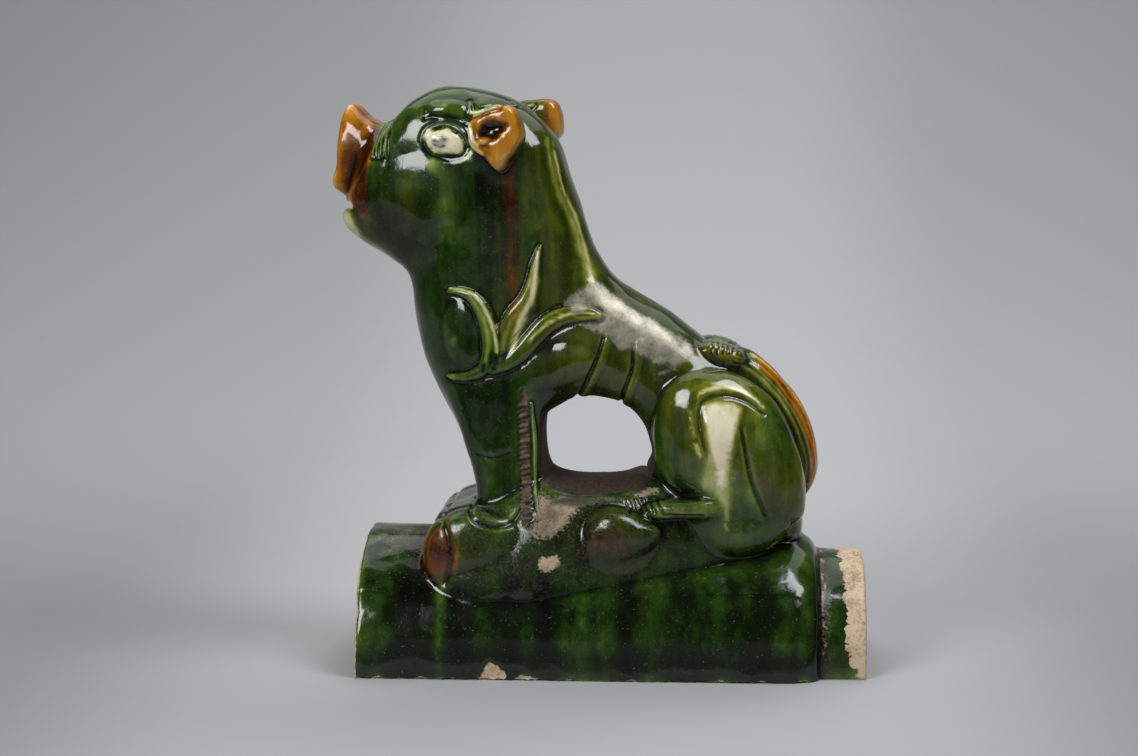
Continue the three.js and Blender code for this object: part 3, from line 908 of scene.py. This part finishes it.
# How thin the green lies: darker on the tile and throat, paler on the back and haunch.
drifts = 0.5 * wander(13, 11, (1, 1, 0.22)) + 0.5 * wander(5.5, 12, (1, 1, 0.15))
coats["thin"] += 0.29 + 0.12 * drifts + 0.09 * sharp_edge + 0.06 * broad_edge
UPPER_BODY = [
    (-52, 322), (-16, 300), (0, 240), (60, 190), (120, 160), (124, 100), (60, 112), (30, 150),
    (-20, 160), (-56, 190), (-40, 250),
]
flooded("olive", 0.85, UPPER_BODY, 12)
coats["thin"] += 0.06 * inside(UPPER_BODY, 12)
TILE_RUNS = [  # x, half-width, how much paler
    (-122, 6, 0.1), (-104, 8, -0.16), (-86, 3.2, 0.24), (-74, 8, -0.12), (-62, 4, 0.04), (-46, 6, -0.1),
    (-28, 5, -0.06), (-14, 6, 0.1), (-5, 5, 0.17), (9, 6, 0.12), (20, 4, -0.14), (34, 8, 0.12),
    (55, 6, 0.02), (72, 5, 0.1), (84, 5, 0.02), (96, 6, -0.08), (120, 4, 0.12), (127, 3, -0.1),
]
on_barrel_of_tile = (1 - rise(z, 46, 60)) * (x < 129)
for run_x, run_width, paler in TILE_RUNS:
    run = np.exp(-(((x - run_x + 1.5 * drifts) / run_width) ** 2))
    coats["thin"] += 1.15 * paler * run * on_barrel_of_tile * np.where(near, 1, 0.6)
coats["thin"] -= (0.11 + 0.12 * rise(-z, -22, -10)) * on_barrel_of_tile
HAUNCH = [(30, 160), (60, 174), (100, 160), (124, 120), (122, 80), (60, 70), (36, 104)]
coats["thin"] += 0.05 * inside(HAUNCH, 8)

# Pale ridges: the nape's long edge, the flame's tendrils, the thigh and shin, and the edge
# behind the foreleg, each by how pale it is and where it runs. The lines on the thigh's
# left edge and along its arc are painted highlights; the rest is thin glaze.
PALE_AND_HIGHLIGHT_LINES = [
    (0.72, [
        (-28, 302, 2.2), (-25, 286, 3.2), (-21, 271, 3.6), (-15, 258, 3.8), (-10, 245, 4.6),
        (-6, 234, 5.6), (-2, 224, 6.5), (-1, 214, 6),
    ]),
    (0.86, [
        (-25, 300, 0.8), (-22, 286, 1.4), (-18, 271, 1.2), (-12, 258, 1.6), (-8, 245, 1.8),
        (-5, 234, 2.4), (-2, 222, 3),
    ]),
    (0.48, [(-33, 292, 4), (-28, 268, 5), (-20, 250, 6)]),
    (0.92, [
        (-83, 217, 0.9), (-75, 216.5, 1.4), (-68, 213.5, 1.6), (-62.5, 206.5, 1.8), (-58.5, 198, 1.8),
        (-56, 188, 1.6), (-55.5, 181, 1.2),
    ]),
    (0.72, [(-70, 212, 2.6), (-65, 205, 3.4), (-61.5, 196, 3.4), (-60, 187, 3), (-62, 176, 2.4)]),
    (1, [
        (-32, 238, 1.5), (-33.5, 225, 2.2), (-35, 214, 2.8), (-39, 205, 3.4), (-43, 197, 3.4),
        (-45.5, 188, 3), (-47, 182, 2.4),
    ]),
    (0.62, [(-36, 222, 2.5), (-42, 207, 3.4), (-49, 195, 3.6), (-52, 184, 3)]),
    (0.9, [(0, 203.5, 1.2), (-10, 204, 1.6), (-20, 201.5, 1.8), (-29, 196, 1.8), (-37, 188, 1.6)]),
    # painted highlights along the thigh's left edge and along its arc
    (0.84, [(54, 151, 1.5), (55, 143, 2), (57, 134, 2), (60, 124, 2)]),
    (0.88, [(57, 158, 1.6), (67, 162.5, 2.4), (79, 162, 2.4), (89, 157.5, 2), (96, 151, 1.4)]),
    (0.6, [(52, 160, 4), (67, 165, 5), (82, 163, 5), (98, 150, 4)]),
    (0.7, [(74, 112, 3), (75, 98, 2.6), (75, 82, 2)]),
    (0.75, [(-36, 150, 0.8), (-34.8, 130, 0.9), (-34.5, 112, 0.9), (-33, 98, 0.9)]),
]
for pale, line in PALE_AND_HIGHLIGHT_LINES:
    brushed("thin", pale, line)
# The pale patch on the thigh is a painted reflection of a soft box, laid on as cream glaze.
THIGH_PAINTED_REFLECTION = [
    (60.5, 150), (63, 155), (70, 156.5), (80, 156), (84.5, 152), (82.5, 143), (80, 132), (78, 118),
    (77, 106), (69, 106), (66, 120), (62, 135),
]
THIGH_RUN = [(59, 118), (63, 130), (77, 130), (80, 112), (80, 96), (74, 92), (66, 100), (57, 106)]
flooded("thin", 0.97, THIGH_PAINTED_REFLECTION, 3.6)
flooded("thin", 0.74, THIGH_RUN, 5)
# A painted highlight on the shoulder's bulge inside the curl.
dabbed("thin", 0.62, (-80, 187), (4, 4))
dabbed("thin", 0.55, (95, 138), (9, 14), tip=-20)
# A painted highlight on the upper bulge of the thigh.
dabbed("thin", 0.66, (49, 155), (4, 2.4), tip=40)
dabbed("olive", -0.8, (72, 94), (28, 26), power=2)
dabbed("olive", -0.8, (98, 138), (13, 18), power=2)

# The head's paler runs on cheek and temple, a painted highlight along the brow, then the dark of throat,
# neck and foreleg.
dabbed("thin", 0.53, (-84, 262), (10, 34), True, power=2)
dabbed("olive", -0.8, (-86, 262), (14, 34), True, power=2)
dabbed("thin", 0.45, (-108, 274), (13, 20), True, power=2)
dabbed("olive", 0.9, (-112, 262), (14, 16), True, power=2)
dabbed("thin", 0.72, (-92, 287), (7, 6), True)
brushed("thin", 0.72, [(-69, 296, 2), (-73, 290, 2.6)], True)
# A painted highlight along the top of the brow.
brushed("thin", 0.68, [(-94, 320.5, 1.5), (-86, 320.5, 2)], True)
dabbed("thin", -0.1, (-112, 248), (16, 22))
dabbed("thin", -0.13, (-62, 262), (8, 40))
dabbed("thin", -0.11, (-66, 140), (20, 40))

# The eye's white slip between dark lids, with a grey iris in a dark ring.
UNDER_EYE = [(-97, 295.5, 1), (-90, 292.3, 1.3), (-82, 291.5, 1.4), (-75, 293.5, 1.2), (-72.5, 297, 1)]
IRIS_RING = [
    (-91.4, 300.2, 0.8), (-90.4, 302.6, 0.8), (-87.6, 303.4, 0.8), (-84.9, 302.4, 0.7),
    (-84.2, 300, 0.7), (-85.4, 298, 0.7), (-88, 297.2, 0.7), (-90.6, 298.2, 0.7), (-91.4, 300.2, 0.8),
]
dabbed("thin", 1.15, EYE, (11.4, 7), True, EYE_TIP, power=10)
coats["olive"] *= 1 - np.exp(-(oval(EYE, (15, 11), True, EYE_TIP) ** 6))
brushed("thin", -0.35, UNDER_EYE, True)
dabbed("ink", 0.62, (-87.6, 300.2), (3.6, 2.9), True, power=6)
brushed("ink", 1, IRIS_RING, True)
brushed("ink", 0.85, [(px - 0.5, pz + 2.4, 0.9) for px, pz, _ in UPPER_LID], True)
brushed("ink", 0.6, [(px, pz + 0.4, 0.7) for px, pz, _ in LOWER_LID], True)
brushed("thin", 0.5, UPPER_LID, True)

# Amber brushed over the snout, ears, toes and tail, and a run of it below each ear.
SNOUT_GLAZED = [
    (-163, 330), (-139, 330), (-132.5, 312), (-131, 295), (-132.5, 278), (-134.5, 264), (-145, 262),
    (-163, 268),
]
flooded("amber", 1, SNOUT_GLAZED, 1.2, True)
coats["thin"] += 0.07 * coats["amber"]
dabbed("thin", -0.24, (-136.5, 284), (5, 22), True)
in_ear = inside(EAR, 1.5, True)
coats["amber"] *= 1 - inside(EAR, 4, True)
lay("amber", in_ear * rise(-head_y, 34, 37))
in_far_ear = np.clip(1 - np.hypot((head_x + 38) / 21, (z - 308) / 22), 0, 1) ** 0.3
in_far_ear *= rise(head_y, 24, 29)
lay("amber", in_far_ear * (0.44 + 0.56 * rise(head_x, -40, -31)))
lay("olive", in_far_ear)
coats["thin"] += 0.08 * in_far_ear
brushed("amber", 0.58, [(-49, 292, 5), (-48.5, 275, 6), (-47, 255, 6.5)], True)
brushed("amber", 0.46, [(-47, 255, 6.5), (-46, 235, 6.5), (-45, 205, 6.5)], True)
brushed("olive", 0.9, [(-49, 280, 9), (-48.5, 265, 10), (-46, 235, 9), (-45, 205, 9)], True)
brushed("thin", -0.1, [(-49, 280, 6), (-48.5, 265, 7), (-46, 235, 7), (-45, 205, 7)], True)
coats["thin"] += 0.15 * in_ear * rise(np.abs(head_y), 34, 37)
dabbed("olive", 1, (-82, 68), (17, 17))
dabbed("amber", 0.95, (-89, 69), (13, 17), tip=-14, power=2.4)
dabbed("thin", -0.15, (-87, 69), (14, 17), tip=-14, power=2.4)
dabbed("amber", 0.5, (7, 76), (17, 13), power=2)
dabbed("olive", 1, (10, 78), (22, 16))
dabbed("thin", -0.12, (8, 76), (22, 16))

# The tail: amber along its outer rim, olive along the line pressed inside it and at its root.
tail_line = eased([(px, pz, 6.5) for px, _, pz in PLUME], 2)
index, gap, _, _ = stroke(tail_line)
outer = np.zeros(len(skin.places))
outer[index] = np.exp(-((gap / 12) ** 4))
past_tail = rise(np.hypot((x - 68) / 1.12, z - 112), 46, 52)
lay("amber", outer * rise(-np.abs(y), -16, -13) * past_tail * rise(x, 88, 98))
TAIL_EDGE = [
    (90, 178, 2), (98, 173.5, 2.6), (109, 163, 3), (118.5, 150, 3), (126, 135, 3), (129, 120, 2.6),
    (128, 106, 2),
]
brushed("thin", 0.8, TAIL_EDGE)
tail_rim = past_tail * rise(x, 84, 92) * rise(z, 97, 103) * (np.abs(y) < MIDDLE_BAND + 2)
lay("amber", tail_rim * (0.5 + 0.5 * rise(x, 94, 108)))
lay("olive", tail_rim)
lay("thin", (0.48 + 0.16 * rise(x, 98, 122)) * tail_rim)
TAIL_INNER = [(84, 172, 2), (97, 163, 3), (108, 149, 3), (116, 133, 3), (119, 116, 2.4), (119, 104, 2)]
index, gap, width, _ = stroke(TAIL_INNER)
on_line = np.exp(-((gap / (1.6 * width)) ** 4))
coats["amber"][index] *= 1 - 0.75 * on_line
coats["olive"][index] = np.maximum(coats["olive"][index], on_line)
brushed("thin", 0.7, [(px, pz, 2.6) for px, pz, _ in TAIL_INNER])
brushed("amber", 0.36, [(58, 179, 6), (70, 181, 6), (82, 177, 5)])
flooded("olive", 1, [(52, 190), (90, 188), (92, 172), (52, 168)], 3)

# Painted highlights along the near ear's rim and the temple ridge, and painted shade in the ear's pit.
EAR_RIM = [(-68, 310, 1.6), (-66.5, 303, 2), (-62.5, 298.5, 1.6)]
TEMPLE_RIDGE = [(-72, 316.5, 1.4), (-65, 316.8, 1.8), (-55, 318.6, 1.5)]
for rim in (EAR_RIM, TEMPLE_RIDGE):
    index, gap, width, _ = stroke(rim, True)
    rim_highlight = np.exp(-((gap / width) ** 2)) * near[index]
    coats["amber"][index] *= 1 - 0.8 * rim_highlight
    coats["thin"][index] = np.maximum(coats["thin"][index], 0.95 * rim_highlight)
# Painted shade darkening the ear's pit.
dabbed("thin", -0.3, (-54.5, 307), (6, 5.5), True, power=2, where=near)

# Cream slip on the lower lip, and bare clay: the tongue's end, the chips, the worn hollow
# between the feet, the tile's ends and everything inside it.
LIP_CREAM = [(-160, 264), (-147, 262), (-143, 258), (-140, 251), (-140, 245), (-146, 238), (-160, 244)]
flooded("thin", 0.84, LIP_CREAM, 4, True)
dabbed("amber", 0.7, (-137, 259), (4, 5), True)
dabbed("olive", 1, (-138, 252), (12, 14), True)
brushed("thin", 0.55, [(-142, 246, 3), (-134, 240, 3), (-124, 233, 2.5)], True)
tongue_edge = 143.5 + 2.2 * wander(9, 21) - 3.5 * rise(z, 40, 62) + 5 * rise(-z, -16, -4) * near
lay("bare", rise(x, tongue_edge - 0.8, tongue_edge + 0.8))
lay("bare", chipped)
in_barrel = x < TILE_SHOULDER - TILE_WALL - 3
inner_radius = np.where(in_barrel, TILE_RADIUS - TILE_WALL, TONGUE_RADIUS - TONGUE_WALL) + 2.2
lay("bare", off_axis < inner_radius)
lay("bare", (x < TILE_FRONT + 0.7) & (z < TILE_RADIUS + 2))
lay("bare", z < 0.15)
WORN_HOLLOW = [
    (-36, 88), (-32, 104), (-27, 102), (-18, 99), (-10, 97), (-6, 93), (-12, 86), (-18, 78), (-28, 74),
    (-37, 77),
]
ROPE_SIDE = [(-43, 157), (-37.5, 157), (-36.6, 120), (-35, 88), (-41, 88), (-42.5, 120)]
flooded("bare", 0.66, WORN_HOLLOW, 7, where=near)
flooded("grime", 0.54, WORN_HOLLOW, 9, where=near)
flooded("bare", 0.54, ROPE_SIDE, 1.6)
flooded("grime", 0.6, ROPE_SIDE, 1.6)
dabbed("bare", 0.75, (-24, 64), (9, 5), tip=20, where=near)
dabbed("bare", 0.56, (-31, 84), (5, 9), tip=10, power=2, where=near)
dabbed("bare", 0.62, (30, 101), (9, 3), tip=8)
dabbed("bare", 0.6, (-9, 197), (2.5, 1.2))
dabbed("bare", 0.55, (-34, 178.5), (3, 1.5), tip=40)
dabbed("bare", 0.6, (-56, 196), (1.6, 2.6))
tunnel_middle = np.mean(TUNNEL, axis=0)
tunnel_side = tunnel_middle + 1.05 * (np.array(TUNNEL) - tunnel_middle)
lay("grime", inside(tunnel_side, 0.8) * rise(-np.abs(y) + 1.5 * wander(6, 22), -36, -33))

# The weathered, silvery skin over the back of the shoulder.
WEATHERED = [
    (-19, 209), (-10, 216), (-1, 222), (10, 215), (22, 206), (40, 196), (54, 186), (57, 179), (50, 174),
    (38, 174), (29, 178), (20, 183), (14, 182), (9, 188), (2, 192), (-8, 196), (-20, 196), (-8, 199),
    (4, 200), (4, 205), (-8, 206),
]
flooded("worn", 0.8, WEATHERED, 2.6, where=near)
for spot, radii in (((7, 199), (6, 6)), ((20, 196), (9, 4)), ((44, 184), (8, 6)), ((-8, 206), (7, 4))):
    dabbed("worn", 1, spot, radii, power=2, where=near)
dabbed("worn", 0.6, (42, 171), (12, 2.5), tip=20, where=near)
flooded("worn", 0.42, [(-135, 66), (-135, 80), (-100, 80), (-98, 70), (-112, 60)], 8)

# The creases darkened and dulled, the base's side and a line under the belly gap darkened, and grime
# on the worn shin and in the rough band round the tongue's root, where the clay is bare in spots.
SHIN_WEAR = [(84, 138), (88, 132), (96, 118), (108, 106), (113, 94), (104, 88), (94, 92), (89, 106)]
BASE_SIDE = [
    (-104, 84), (-60, 100), (0, 108), (60, 104), (100, 84), (60, 60), (0, 50), (-60, 46), (-104, 52),
]
lay("grime", np.clip(-0.34 * sharp_edge - 0.55, 0, 0.5))
flooded("grime", 0.42, SHIN_WEAR, 5)
flooded("grime", 0.27, BASE_SIDE, 8)
dabbed("grime", 0.6, (-12, 97), (22, 3))
on_tongue = off_axis > 50
lay("grime", 0.34 * rise(x, 127, 129) * (1 - rise(x, 133, 138)) * on_tongue)
patches = 0.44 + 0.24 * wander(3, 41, (1, 1, 0.3))
lay("bare", rise(x, 128, 130) * (1 - rise(x, 132, 136)) * patches * on_tongue)

# The clay is thinned to as many faces as its detail needs, and the coats carried over.
MOST_FACES = 192000
finder = KDTree(len(skin.places))
for i, spot in enumerate(skin.places):
    finder.insert(spot, i)
finder.balance()
apply_modifier(beast, "TRIANGULATE")
share = MOST_FACES / len(beast.data.polygons)
if share < 1:
    apply_modifier(beast, "DECIMATE", ratio=share, use_collapse_triangulate=True)
kept = [finder.find(vertex.co / MM)[1] for vertex in beast.data.vertices]
for name, values in coats.items():
    coat = beast.data.attributes.new(name, "FLOAT", "POINT")
    coat.data.foreach_set("value", np.clip(values, 0, 1)[kept].astype(np.float32))


# The glaze itself: lead glaze, green from copper and amber from iron, glassy over white
# slip and buff clay, dulled where it is worn and rough where it has gone.
glaze = Recipe("green_and_amber_glaze")
here = glaze.node("ShaderNodeTexCoord", {}, {})["Object"]


def grain(size, detail, shift, stretch=(1, 1, 1)):
    """Noise with grains of a size in millimetres, drawn out along the axes."""
    scale = [1 / (size * MM * s) for s in stretch]
    moved = {"Vector": here, "Scale": scale, "Location": (shift, shift, shift)}
    places = glaze.node("ShaderNodeMapping", {}, moved)["Vector"]
    noise = {"Vector": places, "Scale": 1, "Detail": detail, "Roughness": 0.55}
    return glaze.node("ShaderNodeTexNoise", {}, noise)["Fac"]


runs = grain(7, 4, 4.1, (1, 1, 7))
fine_runs = grain(2.2, 3, 9.3, (1, 1, 14))
mottle = grain(9, 5, 1.7)
clouds = grain(24, 3, 7.7, (1, 1, 1.6))
speckle = grain(1.6, 3, 6.2)
dust = grain(0.7, 2, 2.9)
# The paleness, from thin glaze and from painted highlights, broken up by runs and mottling.
thin = glaze.layer("thin") + (runs - 0.5) * 0.3 + (fine_runs - 0.5) * 0.12 + (mottle - 0.5) * 0.22
thin = thin + (speckle - 0.5) * 0.09 + (clouds - 0.5) * 0.24
GREEN = [
    (0, (0.0016, 0.0024, 0.0008)), (0.18, (0.004, 0.01, 0.0014)), (0.34, (0.015, 0.042, 0.0035)),
    (0.5, (0.056, 0.104, 0.01)), (0.66, (0.16, 0.225, 0.038)), (0.82, (0.42, 0.43, 0.18)),
    (1, (0.82, 0.76, 0.55)),
]
OLIVE = [
    (0, (0.003, 0.0035, 0.001)), (0.18, (0.007, 0.012, 0.0012)), (0.34, (0.024, 0.038, 0.002)),
    (0.5, (0.068, 0.085, 0.004)), (0.66, (0.19, 0.2, 0.025)), (0.82, (0.48, 0.45, 0.18)),
    (1, (0.82, 0.75, 0.54)),
]
AMBER = [
    (0, (0.008, 0.002, 0.0004)), (0.25, (0.045, 0.01, 0.0008)), (0.45, (0.14, 0.04, 0.0015)),
    (0.62, (0.33, 0.115, 0.004)), (0.8, (0.5, 0.22, 0.015)), (1, (0.68, 0.48, 0.2)),
]
CLAY = [
    (0, (0.13, 0.07, 0.035)), (0.35, (0.34, 0.225, 0.135)), (0.6, (0.55, 0.41, 0.275)),
    (1, (0.66, 0.53, 0.39)),
]
GRIME = [(0.35, (0.01, 0.005, 0.003)), (0.7, (0.075, 0.034, 0.015))]
SILVER = [
    (0, (0.09, 0.095, 0.05)), (0.4, (0.19, 0.185, 0.13)), (0.6, (0.36, 0.33, 0.25)),
    (1, (0.66, 0.58, 0.44)),
]


def ramp(value, stops):
    return glaze.node("ShaderNodeValToRGB", {"stops": stops}, {"Fac": value})["Color"]


olive = (glaze.layer("olive") + (clouds - 0.5) * 1.4 + 0.12).clear_edge(0.5, 0.8)
amber = (glaze.layer("amber") + (fine_runs - 0.5) * 0.35 + (speckle - 0.5) * 0.15).clear_edge(0.45, 0.45)
silvered = glaze.layer("worn") + (speckle - 0.5) * 0.4 + (mottle - 0.5) * 0.5
worn = silvered.clear_edge(0.5, 0.4)
bare = glaze.layer("bare") + (speckle - 0.5) * 0.55 + (dust - 0.5) * 0.25 + (mottle - 0.5) * 0.3
bare = bare.clear_edge(0.5, 0.2)
grime = (glaze.layer("grime") + (speckle - 0.5) * 0.6 + (dust - 0.5) * 0.3).clear_edge(0.42, 0.5)
pits = (dust + speckle * 0.6).clear_edge(1.04, 0.06)
colour = glaze.mix(olive, ramp(thin, GREEN), ramp(thin, OLIVE))
colour = glaze.mix(amber, colour, ramp(thin * 1.35 - 0.03, AMBER))
silver = 0.12 + silvered * 0.58 + (mottle - 0.5) * 0.8 + (speckle - 0.5) * 0.3
colour = glaze.mix(worn * 0.85, colour, ramp(silver, SILVER))
ink = (glaze.layer("ink") + (speckle - 0.5) * 0.3) * 0.95
colour = glaze.mix(ink, colour, (0.022, 0.024, 0.038, 1))
colour = glaze.mix(pits * 0.45, colour, (0.2, 0.19, 0.13, 1))
colour = glaze.mix(bare, colour, ramp(speckle + mottle - 0.44, CLAY))
colour = glaze.mix(grime * 0.9, colour, ramp(speckle, GRIME))
glaze.plug(glaze.shader.inputs["Base Color"], colour)
roughness = 0.085 + 0.07 * mottle + worn * 0.26 + grime * 0.7 + pits * 0.3
roughness = roughness * (1 - bare) + bare * 0.82
glaze.plug(glaze.shader.inputs["Roughness"], roughness)
glaze.shader.inputs["IOR"].default_value = 1.55
glaze.plug(glaze.shader.inputs["Metallic"], worn * (1 - bare) * 0.35)
height = mottle * 0.35 + fine_runs * 0.12 + (1 - bare) * 0.5 + bare * dust * 0.7
height = height + speckle * (grime * 0.35 + worn * 0.2 + 0.05)
bump = glaze.node("ShaderNodeBump", {}, {"Height": height, "Strength": 0.5, "Distance": 0.0006})
glaze.plug(glaze.shader.inputs["Normal"], bump["Normal"])
beast.data.materials.clear()
beast.data.materials.append(glaze.material)
bpy.ops.object.select_all(action="DESELECT")
bpy.context.view_layer.objects.active = beast
beast.select_set(True)
bpy.ops.object.shade_smooth()

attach(beast, "root")
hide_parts("ridge_beast")
